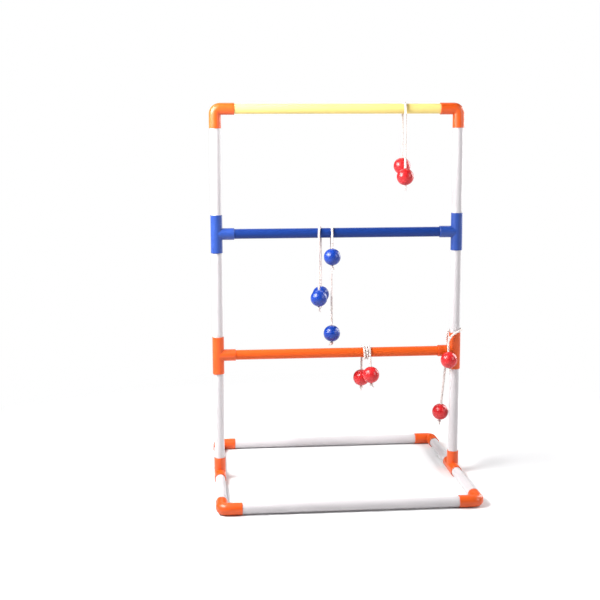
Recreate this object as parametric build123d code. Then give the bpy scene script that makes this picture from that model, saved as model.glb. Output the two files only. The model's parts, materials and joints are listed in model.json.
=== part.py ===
from build123d import *
from math import cos, radians, sin, sqrt, tan
import os

os.makedirs("parts", exist_ok=True)

# Ladder toss frame: a push-fit tube ladder with three rungs on a rectangular
# base, and five bolas (two balls on a cord) that hang where they landed.
# Millimetres, +Z up, the front looks along -Y, origin on the floor at mid base.

# Overall sizes
frame_width = 615.0  # between the axes of the two uprights
base_depth = 551.0  # between the axes of the front and rear rails
base_to_lower_rung = 314.0  # between axes
rung_pitch = 311.0  # between the axes of neighbouring rungs

# Tube
tube_diameter = 25.0
tube_wall = 2.0

# Push-fit fittings
socket_clearance = 0.1  # radial, between a tube and its socket
socket_wall = 2.2
socket_depth = 32.4  # in an elbow and in the run of a tee
branch_depth = 29.0  # in the branch of a tee, which is a little shorter
shoulder_land = 0.7  # from a tee's run surface to the shoulder in its branch
bend_radius = 13.0  # centre line of an elbow; its inner corner is sharp
mouth_chamfer = 0.7  # outer edge of a socket's mouth
lead_in = 0.6  # inner edge of a socket's mouth

# Bolas
ball_diameter = 42.7
cord_diameter = 6.0
bore_play = 0.3  # radial, between a cord and the hole through a ball
rest_gap = 0.3  # between a ball and the knot under it
wrap_gap = 0.5  # between a cord and the tube that it goes round
knot_diameter = 10.0
knot_seat = 3.5  # from a knot's flat top to its middle
corners_per_turn = 12  # points of a cord's route round a tube
coil_pitch = 7.0  # along the rung, for each turn of a wound cord
hang_out = 0.5  # a hanging ball's middle, further out than the cord at the rung
ball_play = 1.1  # between the two balls of a bola that hang side by side
ball_gap = 0.95  # between the caught ball and the fitting that it leans on
caught_angle = 30.8  # degrees, from level, of the caught ball below the fitting
upright_gap = 2.6  # between the caught bola's free ball and the upright
caught_x = -21.6  # of the caught ball, from the upright's axis
pivot_drop = 3.0  # of the place where the free strand swings, below the branch's axis
free_drop = 168.8  # of the free ball, below the branch's axis

# Worked out from the sizes above
fitting_diameter = tube_diameter + 2 * (socket_clearance + socket_wall)
socket_bore = tube_diameter + 2 * socket_clearance
through_bore = tube_diameter - 2 * tube_wall
stop_offset = fitting_diameter / 2 + shoulder_land  # centre to the shoulder
arm = stop_offset + socket_depth  # centre of a tee to the mouth of its run
base_height = fitting_diameter / 2
lower_height = base_height + base_to_lower_rung
middle_height = lower_height + rung_pitch
top_height = middle_height + rung_pitch
side = frame_width / 2
end = base_depth / 2
wrap_radius = tube_diameter / 2 + cord_diameter / 2 + wrap_gap
hug = fitting_diameter / 2 + cord_diameter / 2 + wrap_gap  # a cord round a fitting
corner_step = 360 / corners_per_turn

left, right, front, rear, up, down = (
    Vector(-1, 0, 0),
    Vector(1, 0, 0),
    Vector(0, -1, 0),
    Vector(0, 1, 0),
    Vector(0, 0, 1),
    Vector(0, 0, -1),
)
origin = Vector(0, 0, 0)
nodes = {}


def rod(start, direction, length, diameter):
    """A solid round bar from start."""
    plane = Plane(origin=start, z_dir=direction)
    bar = Cylinder(diameter / 2, length, align=(Align.CENTER, Align.CENTER, Align.MIN))
    return plane * bar


def sleeve(direction, start, depth):
    """The outside of one socket, with a chamfered mouth."""
    mouth_at = stop_offset + depth
    bar = rod(direction * start, direction, mouth_at - start, fitting_diameter)
    mouth = bar.edges().sort_by(Axis(origin, direction))[-1]
    return chamfer(mouth, mouth_chamfer)


def socket_cut(direction, depth):
    """The inside of one socket: the bore down to its shoulder, and the lead-in."""
    bore = rod(direction * stop_offset, direction, depth, socket_bore)
    cone = Cone(
        socket_bore / 2,
        socket_bore / 2 + lead_in,
        lead_in,
        align=(Align.CENTER, Align.CENTER, Align.MIN),
    )
    cone_at = stop_offset + depth - lead_in
    return bore + Plane(origin=direction * cone_at, z_dir=direction) * cone


def moulded_tee():
    """The tee, with its run along Z and its branch along +X."""
    body = sleeve(up, 0, socket_depth) + sleeve(down, 0, socket_depth)
    body += sleeve(right, 0, branch_depth)
    body -= rod(down * stop_offset, up, 2 * stop_offset, through_bore)
    body -= rod(origin, right, stop_offset, through_bore)
    for direction, depth in ((up, socket_depth), (down, socket_depth), (right, branch_depth)):
        body -= socket_cut(direction, depth)
    return body


def quarter_bend(diameter):
    """A quarter of a ring from +Z to +X, cut off flat at its own axis."""
    pivot = (up + right) * bend_radius
    section = Plane(origin=pivot, x_dir=left, z_dir=up)
    disc = section * Pos(bend_radius, 0) * Circle(diameter / 2)
    half = section * Pos(diameter, 0) * Rectangle(2 * diameter, 2 * diameter)
    return revolve(disc & half, Axis(pivot, right.cross(up)), 90)


def moulded_elbow():
    """The elbow, with one arm along Z and one along +X, and a tight bend."""
    body = sleeve(up, bend_radius, socket_depth) + sleeve(right, bend_radius, socket_depth)
    body += quarter_bend(fitting_diameter)
    body -= quarter_bend(through_bore)
    inner = stop_offset - bend_radius
    for direction in (up, right):
        body -= rod(direction * bend_radius, direction, inner, through_bore)
        body -= socket_cut(direction, socket_depth)
    return body


def placed(moulding, centre, main, other):
    """A moulding with its Z along main and its X along other."""
    return Plane(origin=centre, x_dir=other, z_dir=main) * moulding


def tube(from_centre, to_centre):
    """A tube that stops on the shoulders of the two fittings at these centres."""
    direction = (to_centre - from_centre).normalized()
    length = (to_centre - from_centre).length - 2 * stop_offset
    start = from_centre + direction * stop_offset
    outside = rod(start, direction, length, tube_diameter)
    return outside - rod(start, direction, length, tube_diameter - 2 * tube_wall)


# Fittings
tee = moulded_tee()
elbow = moulded_elbow()
side_names = {"left": left, "right": right}
for name, outward in side_names.items():
    x = outward.X * side
    inward = outward * -1
    front_corner = Vector(x, -end, base_height)
    rear_corner = Vector(x, end, base_height)
    nodes[f"base_elbow_front_{name}"] = placed(elbow, front_corner, inward, rear)
    nodes[f"base_elbow_rear_{name}"] = placed(elbow, rear_corner, inward, front)
    nodes[f"base_tee_{name}"] = placed(tee, Vector(x, 0, base_height), rear, up)
    nodes[f"lower_tee_{name}"] = placed(tee, Vector(x, 0, lower_height), up, inward)
    nodes[f"middle_tee_{name}"] = placed(tee, Vector(x, 0, middle_height), up, inward)
    nodes[f"top_elbow_{name}"] = placed(elbow, Vector(x, 0, top_height), inward, down)

# Tubes
for name, outward in side_names.items():
    x = outward.X * side
    levels = (base_height, lower_height, middle_height, top_height)
    stretches = zip(("lower", "middle", "upper"), levels, levels[1:])
    for stretch, low, high in stretches:
        nodes[f"upright_{stretch}_{name}"] = tube(Vector(x, 0, low), Vector(x, 0, high))
    nodes[f"side_rail_front_{name}"] = tube(
        Vector(x, -end, base_height), Vector(x, 0, base_height)
    )
    nodes[f"side_rail_rear_{name}"] = tube(
        Vector(x, 0, base_height), Vector(x, end, base_height)
    )

crosswise = {
    "rung_lower": (0, lower_height),
    "rung_middle": (0, middle_height),
    "rung_top": (0, top_height),
    "base_rail_front": (-end, base_height),
    "base_rail_rear": (end, base_height),
}
for name, (y, z) in crosswise.items():
    nodes[name] = tube(Vector(-side, y, z), Vector(side, y, z))


def around_rung(height, x_start, x_end, turns, first_side):
    """Points of a cord that goes up at one side of a rung, over it, and down."""
    reach = wrap_radius / cos(radians(corner_step / 2))
    count = round(turns * corners_per_turn)
    points = []
    for i in range(count):
        angle = radians((i + 0.5) * corner_step)
        x = x_start + (x_end - x_start) * (i + 0.5) / count
        y = first_side * reach * cos(angle)
        points.append(Vector(x, y, height + reach * sin(angle)))
    return points


def beyond_ball(ball, corner):
    """Where a cord ends: past the ball, against the flat top of its knot."""
    direction = (ball - corner).normalized()
    return ball + direction * (ball_diameter / 2 + rest_gap)


def cord_tube(name, points):
    """A cord along straight runs and tangent arcs, with its radii printed."""
    runs = [b - a for a, b in zip(points, points[1:])]
    radii = []
    for a, b in zip(runs, runs[1:]):
        half_turn = radians(a.get_angle(b) / 2)
        radii.append(0.45 * min(a.length, b.length) / tan(half_turn))
    path = FilletPolyline(*points, radius=radii)
    section = Plane(origin=path @ 0, z_dir=path % 0) * Circle(cord_diameter / 2)
    solid = sweep(section, path=path)
    expected = section.area * path.length
    print(name, "length", round(path.length, 1), "volume ratio", round(solid.volume / expected, 4))
    print("  radii", [round(r, 1) for r in radii])
    return solid


def ball_on_cord(ball, corner):
    """A ball with the hole that its cord passes through."""
    hole_length = 2 * ball_diameter
    direction = (ball - corner).normalized()
    hole = rod(
        ball - direction * ball_diameter,
        direction,
        hole_length,
        cord_diameter + 2 * bore_play,
    )
    return Pos(ball) * Sphere(ball_diameter / 2) - hole


def knot(ball, corner):
    """The knot under a ball: a bead with a flat top, on the cord's end."""
    direction = (ball - corner).normalized()
    top = Plane(origin=beyond_ball(ball, corner), z_dir=direction)
    bead = top * Pos(0, 0, knot_seat) * Sphere(knot_diameter / 2)
    above = top * Cylinder(
        knot_diameter, knot_diameter, align=(Align.CENTER, Align.CENTER, Align.MAX)
    )
    return bead - above


def add_ball(number, place, ball, corner):
    """A ball and its knot, at the end of the cord's run from corner."""
    nodes[f"ball_{number}_{place}"] = ball_on_cord(ball, corner)
    nodes[f"knot_{number}_{place}"] = knot(ball, corner)
    print(f"ball_{number}_{place}", ball, "run from", corner)


def reach_out(first, last):
    """How far in front of its rung, or behind it, each ball of a bola hangs."""
    along = last[1] - first[1]
    below = last[2] - first[2]
    apart = (ball_diameter + ball_play) ** 2 - along**2 - below**2
    return max(wrap_radius + hang_out, sqrt(max(apart, 0)) / 2)


# Draped and wound bolas: the rung's height, the turns round it, the side that the
# first strand hangs on, then for the first and the last strand the x at the rung,
# the x of the ball and its height from the rung's axis
wound_x = 65
wound_turns = 2.5
wound_spread = 20  # between the two balls of the wound bola, along the rung
draped = {
    1: (top_height, 0.5, -1, (169, 169, -170), (167, 167, -144)),
    2: (middle_height, 0.5, -1, (-50.5, -50.5, -164.5), (-41, -41.2, -160.6)),
    3: (middle_height, 0.5, -1, (-16, -16, -60), (-15, -13, -263)),
    4: (
        lower_height,
        wound_turns,
        1,
        (wound_x, wound_x, -71),
        (wound_x + wound_turns * coil_pitch, wound_x + wound_spread, -56.5),
    ),
}
for number, (height, turns, first_side, first, last) in draped.items():
    corners = around_rung(height, first[0], last[0], turns, first_side)
    out = first_side * reach_out(first, last)
    first_ball = Vector(first[1], out, height + first[2])
    last_ball = Vector(last[1], -out, height + last[2])
    start = beyond_ball(first_ball, corners[0])
    finish = beyond_ball(last_ball, corners[-1])
    nodes[f"cord_{number}"] = cord_tube(f"cord_{number}", [start, *corners, finish])
    places = ("front", "rear") if first_side < 0 else ("rear", "front")
    add_ball(number, places[0], first_ball, corners[0])
    add_ball(number, places[1], last_ball, corners[-1])

# The fifth bola is caught on the right lower tee. Its cord goes up in front of
# the branch, round the upright just above the tee, and down behind the branch.
# Its route is counted from the middle of that tee: x and y in the distance that
# a cord keeps from a fitting's axis, z in the length of the tee's arm.
caught_route = (
    (-1.23, -1.12, 0.36),
    (-1.07, -1.01, 0.65),
    (-0.66, -1.01, 0.89),
    (0.05, -1.0, 1.07),
    (0.71, -0.7, 1.14),
    (0.99, 0, 1.17),
    (0.71, 0.7, 1.18),
    (0, 0.99, 1.15),
    (-0.7, 0.71, 1.07),
    (-1.04, 0.33, 0.91),
    (-1.01, 0.46, 0.65),
    (-0.85, 0.85, 0.34),
    (-0.79, 1.06, 0.08),
)
tee_centre = Vector(side, 0, lower_height)
corners = [tee_centre + Vector(x * hug, y * hug, z * arm) for x, y, z in caught_route]
ball_reach = fitting_diameter / 2 + ball_diameter / 2 + ball_gap
lean = radians(caught_angle)
front_ball = tee_centre + Vector(caught_x, -ball_reach * cos(lean), -ball_reach * sin(lean))
free_y = 1.06 * hug  # the free strand hangs just behind the branch
free_reach = tube_diameter / 2 + ball_diameter / 2 + upright_gap
free_x = -sqrt(free_reach**2 - free_y**2)
pivot = tee_centre + Vector(-0.82 * hug, free_y, -pivot_drop)  # the free strand swings here
rear_ball = tee_centre + Vector(free_x, free_y, -free_drop)
strand_direction = (rear_ball - pivot).normalized()
wrap_end = pivot - strand_direction * (cord_diameter / 2 + rest_gap)
start = beyond_ball(front_ball, corners[0])
nodes["cord_5_wrap"] = cord_tube("cord_5_wrap", [start, *corners, wrap_end])
strand_end = beyond_ball(rear_ball, pivot)
strand = rod(pivot, strand_direction, (strand_end - pivot).length, cord_diameter)
nodes["cord_5_strand"] = strand + Pos(pivot) * Sphere(cord_diameter / 2)
add_ball(5, "front", front_ball, corners[0])
add_ball(5, "rear", rear_ball, pivot)
print("cord_5 pivot", pivot, "strand", round((strand_end - pivot).length, 1))

for name, solid in nodes.items():
    export_step(solid, f"parts/{name}.step")
print(len(nodes), "nodes")
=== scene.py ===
import bmesh
import bpy
import json
import math
import random
from mathutils import Matrix, Vector

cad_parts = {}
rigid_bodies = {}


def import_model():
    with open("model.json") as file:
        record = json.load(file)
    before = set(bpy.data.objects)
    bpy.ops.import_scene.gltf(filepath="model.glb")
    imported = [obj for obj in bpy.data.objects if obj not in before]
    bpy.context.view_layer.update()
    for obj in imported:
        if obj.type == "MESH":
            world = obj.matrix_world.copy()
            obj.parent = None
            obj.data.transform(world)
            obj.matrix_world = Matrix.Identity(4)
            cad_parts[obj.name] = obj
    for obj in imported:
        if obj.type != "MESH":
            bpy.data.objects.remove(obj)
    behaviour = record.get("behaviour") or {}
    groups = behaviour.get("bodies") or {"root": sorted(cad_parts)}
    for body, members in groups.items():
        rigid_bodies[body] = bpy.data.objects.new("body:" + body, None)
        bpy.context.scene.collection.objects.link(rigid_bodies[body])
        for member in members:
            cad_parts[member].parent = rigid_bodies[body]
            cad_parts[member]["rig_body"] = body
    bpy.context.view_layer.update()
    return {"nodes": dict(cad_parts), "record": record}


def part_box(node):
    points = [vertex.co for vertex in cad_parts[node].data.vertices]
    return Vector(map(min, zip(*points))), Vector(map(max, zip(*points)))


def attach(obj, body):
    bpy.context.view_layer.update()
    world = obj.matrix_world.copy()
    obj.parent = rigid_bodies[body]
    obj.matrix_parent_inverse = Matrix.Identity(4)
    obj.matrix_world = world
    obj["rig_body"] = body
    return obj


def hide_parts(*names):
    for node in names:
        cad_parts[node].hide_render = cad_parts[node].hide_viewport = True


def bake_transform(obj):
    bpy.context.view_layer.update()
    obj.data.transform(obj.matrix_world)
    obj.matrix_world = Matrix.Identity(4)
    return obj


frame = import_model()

nodes = frame["nodes"]
scene = bpy.context.scene
print("frame loaded:", len(nodes), "nodes")


# ---- small helpers used all through

def screenColour(red, green, blue):
    # from 0-255 display values to Blender's linear colour
    linear = []
    for value in (red, green, blue):
        v = value / 255
        linear.append(v / 12.92 if v <= 0.04045 else ((v + 0.055) / 1.055) ** 2.4)
    return (*linear, 1)


def addPiece(name, mesh, body, material, replaced=()):
    # a new object that rides on a body and stands for CAD nodes
    piece = bpy.data.objects.new(name, mesh)
    scene.collection.objects.link(piece)
    piece.data.materials.append(material)
    if body:
        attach(piece, body)
    if replaced:
        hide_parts(*replaced)
    return piece


def meshFrom(name, points, faces, smooth=True):
    mesh = bpy.data.meshes.new(name)
    mesh.from_pydata(points, [], faces)
    mesh.validate()
    mesh.polygons.foreach_set("use_smooth", [smooth] * len(mesh.polygons))
    mesh.update()
    return mesh


# ---- camera

view = {
    "place": (-0.3419, -2.7312, 0.8823),
    "turn": 5.124,  # degrees towards +X
    "tilt": 8.583,  # degrees down
    "roll": -0.20,
    "lens": 65.0,
    "sensor": 36.0,
}


def makeCamera():
    data = bpy.data.cameras.new("camera")
    data.lens = view["lens"]
    data.sensor_width = view["sensor"]
    data.clip_end = 50
    camera = bpy.data.objects.new("camera", data)
    scene.collection.objects.link(camera)
    turn = Matrix.Rotation(math.radians(-view["turn"]), 4, "Z")
    tilt = Matrix.Rotation(math.radians(90 - view["tilt"]), 4, "X")
    roll = Matrix.Rotation(math.radians(view["roll"]), 4, "Z")
    camera.matrix_world = Matrix.Translation(view["place"]) @ turn @ tilt @ roll
    scene.camera = camera


makeCamera()
print("camera set")


# ---- sizes that the pieces share, in metres

tube = {"radius": 0.0125}
ball = {"radius": 0.02135, "hole": 0.0033, "rest": 0.0003}
cord = {
    "diameter": 0.006,
    "gap": 0.0005,  # between a cord and its rung
    "straight": 0.036,  # of a hanging strand, from the rung down
    "strands": 3,
    "strandShare": 0.485,  # a strand's radius in the cord's radius
    "lay": 0.021,
    "step": 0.0009,
    "sides": 9,
}


def middleOf(node):
    low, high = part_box(node)
    return (Vector(low) + Vector(high)) / 2


rungHeight = {level: middleOf(f"rung_{level}").z for level in ("top", "middle", "lower")}


# ---- materials

def newMaterial(name, colour, roughness, coat=0.0, specular=0.5):
    material = bpy.data.materials.new(name)
    material.use_nodes = True
    shader = material.node_tree.nodes["Principled BSDF"]
    shader.inputs["Base Color"].default_value = colour
    shader.inputs["Roughness"].default_value = roughness
    shader.inputs["Coat Weight"].default_value = coat
    shader.inputs["Coat Roughness"].default_value = 0.12
    shader.inputs["Specular IOR Level"].default_value = specular
    material.diffuse_color = colour
    return material, material.node_tree, shader


def addNode(tree, kind, **settings):
    node = tree.nodes.new(kind)
    for key, value in settings.items():
        if key in node.inputs:
            node.inputs[key].default_value = value
        else:
            setattr(node, key, value)
    return node


def objectSpace(tree, scale=(1, 1, 1)):
    where = addNode(tree, "ShaderNodeTexCoord")
    mapping = addNode(tree, "ShaderNodeMapping")
    mapping.inputs["Scale"].default_value = scale
    tree.links.new(where.outputs["Object"], mapping.inputs["Vector"])
    return mapping.outputs["Vector"]


def noiseAt(tree, vector, scale, detail=3.0, rough=0.5):
    noise = addNode(tree, "ShaderNodeTexNoise", Scale=scale, Detail=detail, Roughness=rough)
    tree.links.new(vector, noise.inputs["Vector"])
    return noise.outputs["Fac"]


def rampOf(tree, factor, stops):
    ramp = addNode(tree, "ShaderNodeValToRGB")
    elements = ramp.color_ramp.elements
    while len(elements) < len(stops):
        elements.new(0.5)
    for element, (place, colour) in zip(elements, stops):
        element.position = place
        element.color = colour
    tree.links.new(factor, ramp.inputs["Fac"])
    return ramp.outputs["Color"]


def shade(colour, times):
    return (*[min(1.0, c * times) for c in colour[:3]], 1)


def mapRange(tree, value, low, high, newLow, newHigh):
    node = addNode(tree, "ShaderNodeMapRange")
    for name, number in zip(("From Min", "From Max", "To Min", "To Max"), (low, high, newLow, newHigh)):
        node.inputs[name].default_value = number
    tree.links.new(value, node.inputs["Value"])
    return node.outputs["Result"]


def bumpFrom(tree, height, shader, strength, distance):
    bump = addNode(tree, "ShaderNodeBump", Strength=strength, Distance=distance)
    tree.links.new(height, bump.inputs["Height"])
    tree.links.new(bump.outputs["Normal"], shader.inputs["Normal"])


plastics = {
    "orange_fitting": {"colour": screenColour(209, 81, 22), "roughness": 0.38, "coat": 0.1, "gloss": 0.4},
    "blue_fitting": {"colour": screenColour(33, 65, 141), "roughness": 0.38, "coat": 0.1, "gloss": 0.4},
    "orange_tube": {"colour": screenColour(206, 81, 22), "roughness": 0.42, "coat": 0.0, "gloss": 0.22},
    "blue_tube": {"colour": screenColour(18, 49, 118), "roughness": 0.42, "coat": 0.0, "gloss": 0.22},
    "yellow_tube": {"colour": screenColour(226, 203, 124), "roughness": 0.42, "coat": 0.0, "gloss": 0.22},
    "white_tube": {"colour": screenColour(192, 188, 190), "roughness": 0.4, "coat": 0.0, "gloss": 0.35},
}


def mouldedPlastic(slot):
    # faint flow marks in the colour, a fine orange peel and a little scuffing
    look = plastics[slot]
    material, tree, shader = newMaterial(slot, look["colour"], look["roughness"], look["coat"], look["gloss"])
    place = objectSpace(tree)
    flow = noiseAt(tree, place, 28, 4)
    colour = rampOf(tree, flow, [(0.25, shade(look["colour"], 0.94)), (0.75, shade(look["colour"], 1.05))])
    tree.links.new(colour, shader.inputs["Base Color"])
    scuff = noiseAt(tree, place, 160, 6, 0.7)
    rough = mapRange(tree, scuff, 0.35, 0.75, look["roughness"] - 0.05, look["roughness"] + 0.12)
    tree.links.new(rough, shader.inputs["Roughness"])
    peel = noiseAt(tree, place, 900, 2)
    bumpFrom(tree, peel, shader, 0.12, 0.0002)
    return material


def drawnTube(slot, axis):
    # long faint draw lines along the tube, and small rubs
    look = plastics[slot]
    name = f"{slot}_{axis}"
    material, tree, shader = newMaterial(name, look["colour"], look["roughness"], look["coat"], look["gloss"])
    stretch = {"x": (0.02, 1, 1), "y": (1, 0.02, 1), "z": (1, 1, 0.02)}[axis]
    along = objectSpace(tree, stretch)
    lines = noiseAt(tree, along, 420, 3, 0.6)
    place = objectSpace(tree)
    tone = noiseAt(tree, place, 9, 3)
    colour = rampOf(tree, tone, [(0.3, shade(look["colour"], 0.97)), (0.7, shade(look["colour"], 1.03))])
    tree.links.new(colour, shader.inputs["Base Color"])
    rub = noiseAt(tree, place, 120, 6, 0.75)
    rough = mapRange(tree, rub, 0.4, 0.75, look["roughness"] - 0.04, look["roughness"] + 0.13)
    tree.links.new(rough, shader.inputs["Roughness"])
    bumpFrom(tree, lines, shader, 0.1, 0.00025)
    return material


ballLooks = {
    "red_ball": {"colour": screenColour(196, 36, 40), "roughness": 0.24, "coat": 0.06, "gloss": 0.42},
    "blue_ball": {"colour": screenColour(20, 56, 146), "roughness": 0.24, "coat": 0.06, "gloss": 0.42},
}


def ballPaint(slot):
    # glossy paint, slightly thicker in places, with grass rubs that dull it
    look = ballLooks[slot]
    material, tree, shader = newMaterial(slot, look["colour"], look["roughness"], look["coat"], look["gloss"])
    place = objectSpace(tree)
    cloud = noiseAt(tree, place, 70, 4)
    colour = rampOf(tree, cloud, [(0.3, shade(look["colour"], 0.86)), (0.7, shade(look["colour"], 1.08))])
    tree.links.new(colour, shader.inputs["Base Color"])
    rub = noiseAt(tree, place, 240, 5, 0.7)
    rough = mapRange(tree, rub, 0.4, 0.8, look["roughness"] - 0.04, look["roughness"] + 0.2)
    tree.links.new(rough, shader.inputs["Roughness"])
    grain = noiseAt(tree, place, 1500, 2)
    bumpFrom(tree, grain, shader, 0.06, 0.0001)
    return material


cordLook = {
    "colour": screenColour(236, 228, 225),
    "shadow": screenColour(184, 164, 155),
    "roughness": 0.62,
}


def cordFibre():
    # off-white yarn with beige flecks and a fine fibre relief
    material, tree, shader = newMaterial("cord", cordLook["colour"], cordLook["roughness"], 0, 0.3)
    shader.inputs["Sheen Weight"].default_value = 0.3
    place = objectSpace(tree)
    fleck = noiseAt(tree, place, 420, 4, 0.65)
    colour = rampOf(tree, fleck, [(0.38, cordLook["shadow"]), (0.56, cordLook["colour"])])
    tree.links.new(colour, shader.inputs["Base Color"])
    hair = noiseAt(tree, place, 3200, 3, 0.7)
    bumpFrom(tree, hair, shader, 0.5, 0.0003)
    return material


cordMaterial = cordFibre()
ballMaterials = {slot: ballPaint(slot) for slot in ballLooks}


def paintNodes():
    # every CAD node that stays gets its finish; tubes by the way that they run
    slotOf = {row["node"]: row["material_slot"] for row in frame["record"]["subparts"]}
    made = {}
    for name, node in nodes.items():
        slot = slotOf[name]
        if slot not in plastics:
            continue
        key = (slot,)
        if slot.endswith("tube"):
            low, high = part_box(name)
            spans = [high[i] - low[i] for i in range(3)]
            key = (slot, "xyz"[spans.index(max(spans))])
        if key not in made:
            made[key] = drawnTube(*key) if len(key) == 2 else mouldedPlastic(*key)
        node.data.materials.clear()
        node.data.materials.append(made[key])


paintNodes()
print("tubes and fittings painted")


# ---- cords: a route's points, its smooth line, and a rope of twisted strands

def overRung(height, xStart, xEnd, turns, firstSide, perTurn=12):
    # up at one side of a rung, over it, and down again
    radius = tube["radius"] + cord["diameter"] / 2 + cord["gap"]
    reach = radius / math.cos(math.pi / perTurn)
    count = round(turns * perTurn)
    points = []
    for i in range(count):
        angle = 2 * math.pi * (i + 0.5) / perTurn
        x = xStart + (xEnd - xStart) * (i + 0.5) / count
        y = firstSide * reach * math.cos(angle)
        points.append(Vector((x, y, height + reach * math.sin(angle))))
    return points


def pastBall(centre, corner):
    # where a cord ends, just below its ball
    way = (centre - corner).normalized()
    return centre + way * (ball["radius"] + ball["rest"])


def straightPoint(corner, end):
    # a point on a hanging strand, so that it stays straight up to the rung
    return corner + (end - corner).normalized() * cord["straight"]


# the rung, the turns round it, the side of the first strand, x at the rung of the first and last
draped = {
    1: ("top", 0.5, -1, 0.169, 0.167),
    2: ("middle", 0.5, -1, -0.0505, -0.041),
    3: ("middle", 0.5, -1, -0.016, -0.015),
    4: ("lower", 2.5, 1, 0.065, 0.0825),
}
# the fifth cord, counted from the middle of the tee that it is caught on: x and y in the
# distance that a cord keeps from a fitting's axis, z in the length of the tee's arm
caught = {"hug": 0.0183, "arm": 0.0479, "pivot": (-0.82, 1.06, -0.003)}
caughtRoute = (
    (-1.23, -1.12, 0.36),
    (-1.07, -1.01, 0.65),
    (-0.66, -1.01, 0.89),
    (0.05, -1.0, 1.07),
    (0.71, -0.7, 1.14),
    (0.99, 0, 1.17),
    (0.71, 0.7, 1.18),
    (0, 0.99, 1.15),
    (-0.7, 0.71, 1.07),
    (-1.04, 0.33, 0.91),
    (-1.01, 0.46, 0.65),
    (-0.85, 0.85, 0.34),
    (-0.79, 1.06, 0.08),
)


def smoothLine(points):
    # the NURBS line that these points control
    curve = bpy.data.curves.new("route", "CURVE")
    curve.dimensions = "3D"
    curve.resolution_u = 24
    spline = curve.splines.new("NURBS")
    spline.points.add(len(points) - 1)
    for controlPoint, point in zip(spline.points, points):
        controlPoint.co = (*point, 1)
    spline.use_endpoint_u = True
    spline.order_u = 3
    holder = bpy.data.objects.new("route", curve)
    mesh = bpy.data.meshes.new_from_object(holder)
    line = [v.co.copy() for v in mesh.vertices]
    bpy.data.meshes.remove(mesh)
    bpy.data.objects.remove(holder)
    bpy.data.curves.remove(curve)
    return line


def evenly(line, step):
    # the same line with points the same distance apart
    lengths = [0.0]
    for a, b in zip(line, line[1:]):
        lengths.append(lengths[-1] + (b - a).length)
    count = max(2, math.ceil(lengths[-1] / step))
    out, k = [], 0
    for i in range(count + 1):
        target = lengths[-1] * i / count
        while k < len(line) - 2 and lengths[k + 1] < target:
            k += 1
        span = max(lengths[k + 1] - lengths[k], 1e-9)
        out.append(line[k].lerp(line[k + 1], min(1, (target - lengths[k]) / span)))
    return out, lengths[-1]


def framesAlong(line):
    # tangent and two steady side directions at each point
    tangents = []
    for i in range(len(line)):
        a, b = line[max(i - 1, 0)], line[min(i + 1, len(line) - 1)]
        tangents.append((b - a).normalized())
    side = tangents[0].orthogonal().normalized()
    frames = []
    for tangent in tangents:
        side = (side - tangent * side.dot(tangent)).normalized()
        frames.append((tangent, side, tangent.cross(side)))
    return frames


def ropeMesh(name, line, diameter, strands, lay, sides, phase=0.0):
    # strands laid round the line; each is a tube closed with a flat cap at each end
    strandRadius = diameter / 2 * cord["strandShare"]
    orbit = diameter / 2 - strandRadius
    frames = framesAlong(line)
    points, faces = [], []
    for s in range(strands):
        base = len(points)
        along = 0.0
        for i, (centre, (tangent, u, v)) in enumerate(zip(line, frames)):
            if i:
                along += (centre - line[i - 1]).length
            turn = 2 * math.pi * (along / lay + s / strands) + phase
            outward = u * math.cos(turn) + v * math.sin(turn)
            lean = tangent.cross(outward) * (2 * math.pi * orbit / lay)
            forward = (tangent + lean).normalized()
            upward = forward.cross(outward).normalized()
            middle = centre + outward * orbit
            for k in range(sides):
                a = 2 * math.pi * k / sides
                points.append(middle + (outward * math.cos(a) + upward * math.sin(a)) * strandRadius)
        rings = len(line)
        for i in range(rings - 1):
            for k in range(sides):
                a, b = base + i * sides + k, base + i * sides + (k + 1) % sides
                faces.append((a, b, b + sides, a + sides))
        faces.append(tuple(base + k for k in reversed(range(sides))))
        faces.append(tuple(base + (rings - 1) * sides + k for k in range(sides)))
    return meshFrom(name, points, faces)


cordLengths = {}
balls = {}  # number and place: (centre, the way the cord runs there)


def makeCord(number, points, body, replaced):
    line, length = evenly(smoothLine(points), cord["step"])
    mesh = ropeMesh(
        f"rope_{number}", line, cord["diameter"], cord["strands"], cord["lay"], cord["sides"], number
    )
    piece = addPiece(f"rope_{number}", mesh, body, cordMaterial, replaced)
    cordLengths[number] = length
    return piece, line, length


ropes = {}
for number, (rung, turns, firstSide, firstX, lastX) in draped.items():
    corners = overRung(rungHeight[rung], firstX, lastX, turns, firstSide)
    places = ("front", "rear") if firstSide < 0 else ("rear", "front")
    firstBall, lastBall = [middleOf(f"ball_{number}_{place}") for place in places]
    start, finish = pastBall(firstBall, corners[0]), pastBall(lastBall, corners[-1])
    points = [start, straightPoint(corners[0], start), *corners, straightPoint(corners[-1], finish), finish]
    ropes[number] = makeCord(number, points, f"bola_{number}", [f"cord_{number}"])
    balls[f"{number}_{places[0]}"] = (firstBall, (firstBall - corners[0]).normalized())
    balls[f"{number}_{places[1]}"] = (lastBall, (lastBall - corners[-1]).normalized())

caughtMiddle = Vector((middleOf("upright_lower_right").x, 0, rungHeight["lower"]))
hug = caught["hug"]
corners = [caughtMiddle + Vector((x * hug, y * hug, z * caught["arm"])) for x, y, z in caughtRoute]
pivot = caughtMiddle + Vector((caught["pivot"][0] * hug, caught["pivot"][1] * hug, caught["pivot"][2]))
frontBall, rearBall = middleOf("ball_5_front"), middleOf("ball_5_rear")
start, finish = pastBall(frontBall, corners[0]), pastBall(rearBall, pivot)
points = [start, *corners, pivot, straightPoint(pivot, finish), finish]
ropes[5] = makeCord(5, points, None, ["cord_5_wrap", "cord_5_strand"])
balls["5_front"] = (frontBall, (frontBall - corners[0]).normalized())
balls["5_rear"] = (rearBall, (rearBall - pivot).normalized())
print("ropes laid:", {n: round(v, 4) for n, v in cordLengths.items()})


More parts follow.
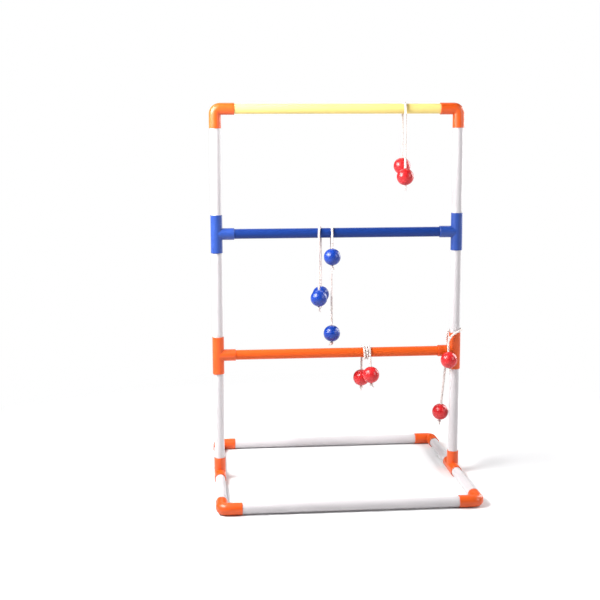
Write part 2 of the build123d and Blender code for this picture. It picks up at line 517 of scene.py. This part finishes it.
# ---- knots: a tight overhand turn under each ball, with a short frayed tail

knotLook = {
    "rope": 0.0044,
    "lay": 0.014,
    "step": 0.0006,
    "sides": 8,
    "sunk": 0.003,  # the cord's start inside the ball
    "gap": 0.0016,  # from the ball to the turn
    "orbit": 0.0029,
    "height": 0.0054,
    "turns": 1.35,
    "points": 14,
    "tuck": 0.0014,
    "lead": 0.003,  # from the turn to where the tail starts
    "tail": 0.005,
    "hairs": 16,
    "hairRadius": 0.00022,
    "hairSpread": 0.55,
    "hairRoot": 0.0011,
    "hairLength": (0.0012, 0.0026),
    "hairBend": 0.0006,
    "hairSteps": 4,
    "hairSides": 5,
}
tailWays = {
    "1_front": (0.2, -0.4, -1), "1_rear": (-0.5, -0.2, -0.8),
    "2_front": (0.35, -0.2, -1), "2_rear": (0.4, 0.3, -1),
    "3_front": (0.9, -0.4, -0.8), "3_rear": (-1, -0.3, -0.35),
    "4_front": (1, -0.3, -0.7), "4_rear": (-0.3, -0.2, -1),
    "5_front": (0.8, -0.3, -0.6), "5_rear": (0.25, -0.3, -1),
}


def joinMeshes(name, meshes):
    points, faces = [], []
    for mesh in meshes:
        base = len(points)
        points += [v.co.copy() for v in mesh.vertices]
        faces += [tuple(base + i for i in face.vertices) for face in mesh.polygons]
        bpy.data.meshes.remove(mesh)
    return meshFrom(name, points, faces)


def anyWay(dice):
    return Vector([dice.uniform(-1, 1) for _ in range(3)])


def frayedTail(place, way, dice):
    # separate hairs that spread from the cut end
    meshes = []
    steps = knotLook["hairSteps"]
    for _ in range(knotLook["hairs"]):
        spread = anyWay(dice) * knotLook["hairSpread"]
        tip = (way.normalized() + spread).normalized()
        root = place + anyWay(dice) * knotLook["hairRoot"]
        length = dice.uniform(*knotLook["hairLength"])
        bend = anyWay(dice) * knotLook["hairBend"]
        line = [root + tip * (length * t / steps) + bend * (t / steps) ** 2 for t in range(steps + 1)]
        meshes.append(tubeMesh("hair", line, knotLook["hairRadius"], knotLook["hairSides"]))
    return meshes


def tubeMesh(name, line, radius, sides):
    frames = framesAlong(line)
    points, faces = [], []
    for i, (centre, (tangent, u, v)) in enumerate(zip(line, frames)):
        size = radius * (0.6 if i == len(line) - 1 else 1)
        for k in range(sides):
            a = 2 * math.pi * k / sides
            points.append(centre + (u * math.cos(a) + v * math.sin(a)) * size)
    for i in range(len(line) - 1):
        for k in range(sides):
            a, b = i * sides + k, i * sides + (k + 1) % sides
            faces.append((a, b, b + sides, a + sides))
    faces.append(tuple(reversed(range(sides))))
    faces.append(tuple((len(line) - 1) * sides + k for k in range(sides)))
    return meshFrom(name, points, faces)


def makeKnot(key, centre, way, body):
    dice = random.Random(key)
    tailWay = Vector(tailWays[key]).normalized()
    u = way.orthogonal().normalized()
    v = way.cross(u)
    top = centre + way * (ball["radius"] + knotLook["gap"])
    turn = dice.uniform(0, 6.28)
    points = [centre + way * (ball["radius"] - knotLook["sunk"]), top]
    steps = knotLook["points"]
    for i in range(steps + 1):
        t = i / steps
        a = turn + 2 * math.pi * knotLook["turns"] * t
        orbit = knotLook["orbit"] * (0.85 + 0.25 * math.sin(math.pi * t))
        rise = way * knotLook["height"] * (0.12 + 0.6 * t)
        points.append(top + (u * math.cos(a) + v * math.sin(a)) * orbit + rise)
    last = points[-1]
    # the end tucks up across the turn, then leaves as the tail
    across = (top + way * knotLook["height"] * 0.45) - (last - top).normalized() * 0.001
    points.append(last.lerp(across, 0.5) + way * knotLook["tuck"])
    out = across + way * knotLook["lead"] + tailWay * knotLook["lead"]
    points += [out, out + tailWay * knotLook["tail"] * 0.6]
    line, _ = evenly(smoothLine(points), knotLook["step"])
    look = knotLook
    meshes = [ropeMesh("knot", line, look["rope"], cord["strands"], look["lay"], look["sides"], turn)]
    meshes += frayedTail(line[-1], (line[-1] - line[-4]), dice)
    mesh = joinMeshes(f"tied_end_{key}", meshes)
    return addPiece(f"tied_end_{key}", mesh, body, cordMaterial, [f"knot_{key}"])


for key, (centre, way) in balls.items():
    body = nodes[f"knot_{key}"]["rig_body"]
    makeKnot(key, centre, way, body)

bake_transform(ropes[5][0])


# ---- balls: a ring of points round each dimple, on a ball with a drilled hole

dimples = {
    "frequency": 6,
    "radius": 0.00185,
    "depth": 0.00026,
    "rim": 12,
    "floor": 8,
    "nearHole": 0.985,  # no dimple centre beyond this height on a unit ball
    "holeSides": 24,
}


def geodesicPoints(frequency):
    # the corners of an icosahedron whose sides are divided, with one at the top
    base = bmesh.new()
    bmesh.ops.create_icosphere(base, subdivisions=1, radius=1)
    corners = [v.co.normalized() for v in base.verts]
    triangles = [[v.index for v in face.verts] for face in base.faces]
    base.free()
    found = {}
    for a, b, c in triangles:
        for i in range(frequency + 1):
            for j in range(frequency + 1 - i):
                k = frequency - i - j
                p = (corners[a] * i + corners[b] * j + corners[c] * k).normalized()
                found[tuple(round(x, 4) for x in p)] = p
    points = list(found.values())
    turn = corners[0].rotation_difference(Vector((0, 0, 1)))
    return [turn @ p for p in points]


def ballTemplate():
    # unit directions and depths of the surface points, hole along Z
    radius = ball["radius"]
    spots = [p for p in geodesicPoints(dimples["frequency"]) if abs(p.z) < dimples["nearHole"]]
    surface = []
    for p in spots:
        u = p.orthogonal().normalized()
        v = p.cross(u)
        surface.append((p, dimples["depth"]))
        # share of the dimple's radius, share of its depth, points, and their shift round it
        rings = (
            (1.12, 0, dimples["rim"], 0),
            (0.97, 0.02, dimples["rim"], 0),
            (0.6, 0.66, dimples["floor"], 0.5),
        )
        for share, deep, count, shift in rings:
            size = dimples["radius"] * share / radius
            for k in range(count):
                a = 2 * math.pi * (k + shift) / count
                q = p * math.cos(size) + (u * math.cos(a) + v * math.sin(a)) * math.sin(size)
                surface.append((q.normalized(), dimples["depth"] * deep))
    for sign in (1, -1):
        for size, deep in ((ball["hole"] + 0.0005, 0), (ball["hole"] + 0.0001, 0.0004)):
            tilt = size / radius
            wide = math.sin(tilt)
            for k in range(dimples["holeSides"]):
                a = 2 * math.pi * k / dimples["holeSides"]
                q = Vector((math.cos(a) * wide, math.sin(a) * wide, sign * math.cos(tilt)))
                surface.append((q, deep))
        surface.append((Vector((0, 0, sign)), 0.004))
    return surface


def ballMesh(name, centre, way, spin):
    surface = ballTemplate()
    shell = bmesh.new()
    for direction, _ in surface:
        shell.verts.new(direction)
    shell.verts.ensure_lookup_table()
    for index, vertex in enumerate(shell.verts):
        vertex.index = index
    bmesh.ops.convex_hull(shell, input=shell.verts, use_existing_faces=False)
    turn = Vector((0, 0, -1)).rotation_difference(way) @ Matrix.Rotation(spin, 3, "Z").to_quaternion()
    for vertex in shell.verts:
        direction, deep = surface[vertex.index]
        place = direction * (ball["radius"] - deep)
        vertex.co = centre + turn @ place
    bmesh.ops.recalc_face_normals(shell, faces=shell.faces)
    for face in shell.faces:
        face.smooth = True
    mesh = bpy.data.meshes.new(name)
    shell.to_mesh(mesh)
    shell.free()
    return mesh


for key, (centre, way) in balls.items():
    name = f"ball_{key}"
    slot = "blue_ball" if key[0] in "23" else "red_ball"
    mesh = ballMesh(f"golf_{name}", centre, way, 0.7 * len(name) + int(key[0]))
    addPiece(f"dimpled_{name}", mesh, name, ballMaterials[slot], [name])
print("balls made:", len(balls))


# ---- floor, backdrop and light

studio = {
    "floor": screenColour(222, 222, 223),
    "glow": 1.0,
    "fadeFrom": 0.5,
    "fadeTo": 1.3,
    "reach": 12.0,
    "sides": 64,
}


def makeStage():
    # a round pale floor that fades into the bright studio far from the object
    points = []
    for k in range(studio["sides"]):
        a = 2 * math.pi * k / studio["sides"]
        points.append((studio["reach"] * math.cos(a), studio["reach"] * math.sin(a), 0))
    material, tree, shader = newMaterial("stage", studio["floor"], 0.7, 0, 0.2)
    distance = addNode(tree, "ShaderNodeVectorMath", operation="LENGTH")
    tree.links.new(objectSpace(tree), distance.inputs[0])
    far = mapRange(tree, distance.outputs["Value"], studio["fadeFrom"], studio["fadeTo"], 0, 1)
    bright = addNode(tree, "ShaderNodeEmission", Strength=studio["glow"])
    mix = addNode(tree, "ShaderNodeMixShader")
    tree.links.new(far, mix.inputs[0])
    tree.links.new(shader.outputs["BSDF"], mix.inputs[1])
    tree.links.new(bright.outputs["Emission"], mix.inputs[2])
    tree.links.new(mix.outputs["Shader"], tree.nodes["Material Output"].inputs["Surface"])
    stage = bpy.data.objects.new("stage", meshFrom("stage", points, [tuple(range(studio["sides"]))]))
    scene.collection.objects.link(stage)
    stage.data.materials.append(material)


def areaLight(name, place, target, size, power):
    data = bpy.data.lights.new(name, "AREA")
    data.shape = "RECTANGLE"
    data.size, data.size_y = size
    data.energy = power
    lamp = bpy.data.objects.new(name, data)
    scene.collection.objects.link(lamp)
    lamp.location = place
    lamp.rotation_euler = (Vector(target) - Vector(place)).to_track_quat("-Z", "Y").to_euler()


softboxes = {
    "near": {"place": (-1.25, -0.9, 1.55), "target": (-0.2, 0, 0.7), "size": (0.5, 0.7), "power": 26},
    "side": {"place": (-1.2, -0.2, 1.35), "target": (-0.2, 0, 0.7), "size": (0.4, 0.8), "power": 34},
    "above": {"place": (-0.9, -0.3, 1.9), "target": (-0.1, 0, 0.5), "size": (0.6, 0.6), "power": 5},
    "corner": {"place": (-0.72, -0.4, 1.2), "target": (-0.31, 0, 0.94), "size": (0.2, 0.3), "power": 8},
    "fill": {"place": (2.6, -1.6, 1.7), "target": (0, 0, 0.5), "size": (1.0, 1.8), "power": 47},
    "rim": {"place": (2.4, 1.5, 1.3), "target": (0, 0, 0.5), "size": (1.0, 1.8), "power": 62},
    "back": {"place": (0, 2.2, 2.6), "target": (0, 0, 0.3), "size": (2.4, 1.0), "power": 24},
    "glint": {"place": (1.7, 0.4, 1.55), "target": (0, 0, 0.6), "size": (0.25, 0.5), "power": 9},
}


def makeLights():
    world = bpy.data.worlds.new("studio")
    scene.world = world
    world.use_nodes = True
    # the studio's walls are bright to the eye, and the softboxes alone light the object
    background = world.node_tree.nodes["Background"]
    background.inputs["Color"].default_value = (1, 1, 1, 1)
    sight = addNode(world.node_tree, "ShaderNodeLightPath")
    world.node_tree.links.new(sight.outputs["Is Camera Ray"], background.inputs["Strength"])
    for name, box in softboxes.items():
        areaLight(name, box["place"], box["target"], box["size"], box["power"])
    scene.view_settings.view_transform = "Standard"


makeStage()
makeLights()
print("studio lit")
